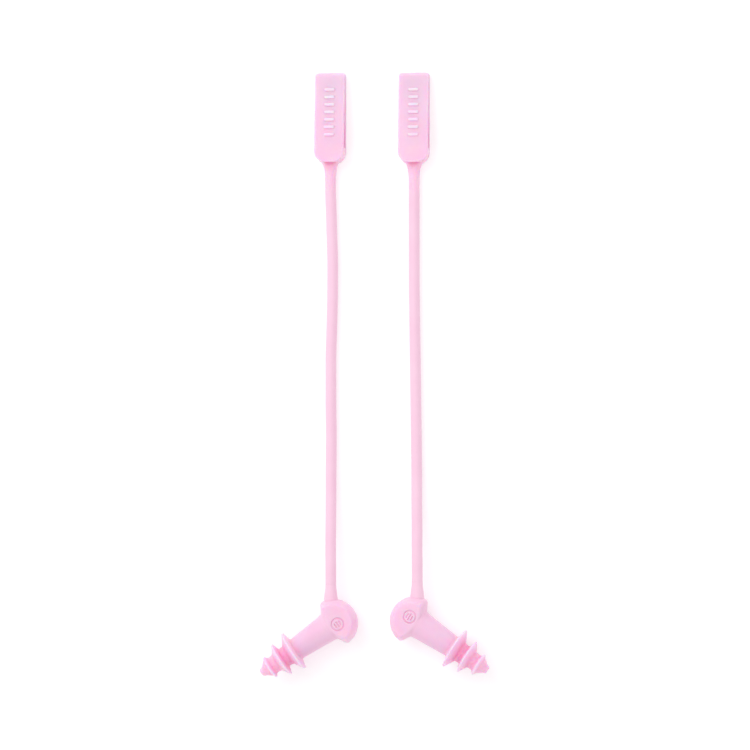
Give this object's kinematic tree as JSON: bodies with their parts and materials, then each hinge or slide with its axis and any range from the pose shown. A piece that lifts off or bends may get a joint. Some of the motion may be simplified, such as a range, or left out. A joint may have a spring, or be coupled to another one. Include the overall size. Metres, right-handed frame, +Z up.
{
  "type": "leashed swim ear plugs",
  "caption": "Pair of soft triple-flange swim ear plugs, each with a grip head, a thin leash and a folded loop for a goggle strap.",
  "frame": {"origin": "on the surface that the pair lies on, under the middle of the box around the loops and plugs", "axes": "+Z up from the surface, +Y along the leashes towards the strap loops, +X towards the right-hand plug"},
  "size_m": [0.0663, 0.1754, 0.0123],
  "materials": {
    "strap_loop": "soft satin",
    "leash": "soft satin",
    "plug_head": "soft satin",
    "ear_tip": "soft satin"
  },
  "bodies": {
    "left_leash": {"left_leash": "leash"},
    "left_loop": {"left_strap_loop": "strap_loop"},
    "left_leash_end": {"left_leash_collar": "leash", "left_leash_anchor": "leash"},
    "left_plug": {"left_plug_head": "plug_head", "left_ear_tip": "ear_tip"},
    "right_leash": {"right_leash": "leash"},
    "right_loop": {"right_strap_loop": "strap_loop"},
    "right_leash_end": {"right_leash_collar": "leash", "right_leash_anchor": "leash"},
    "right_plug": {"right_plug_head": "plug_head", "right_ear_tip": "ear_tip"}
  },
  "joints": [
    {"name": "right_side_spread", "type": "slide", "parent": "left_leash", "child": "right_leash", "axis": [1, 0, 0], "range_m": [0, 0.1]},
    {"name": "left_loop_fold", "type": "hinge", "parent": "left_leash", "child": "left_loop", "pos_m": [-0.0131, 0.0543, 0.0016], "axis": [1, 0, 0], "range_deg": [-75, 75]},
    {"name": "left_plug_swing", "type": "hinge", "parent": "left_leash", "child": "left_leash_end", "pos_m": [-0.0125, -0.0575, 0.00494], "axis": [0, 0, 1], "range_deg": [-60, 35]},
    {"name": "left_plug_turn", "type": "hinge", "parent": "left_leash_end", "child": "left_plug", "pos_m": [-0.0125, -0.0689, 0.00494], "axis": [0, 1, 0], "range_deg": [-90, 90]},
    {"name": "right_loop_fold", "type": "hinge", "parent": "right_leash", "child": "right_loop", "pos_m": [0.0114, 0.054, 0.0016], "axis": [1, 0, 0], "range_deg": [-75, 75]},
    {"name": "right_plug_swing", "type": "hinge", "parent": "right_leash", "child": "right_leash_end", "pos_m": [0.0127, -0.0565, 0.00494], "axis": [0, 0, -1], "range_deg": [-60, 35]},
    {"name": "right_plug_turn", "type": "hinge", "parent": "right_leash_end", "child": "right_plug", "pos_m": [0.0127, -0.0679, 0.00494], "axis": [0, -1, 0], "range_deg": [-90, 90]}
  ]
}
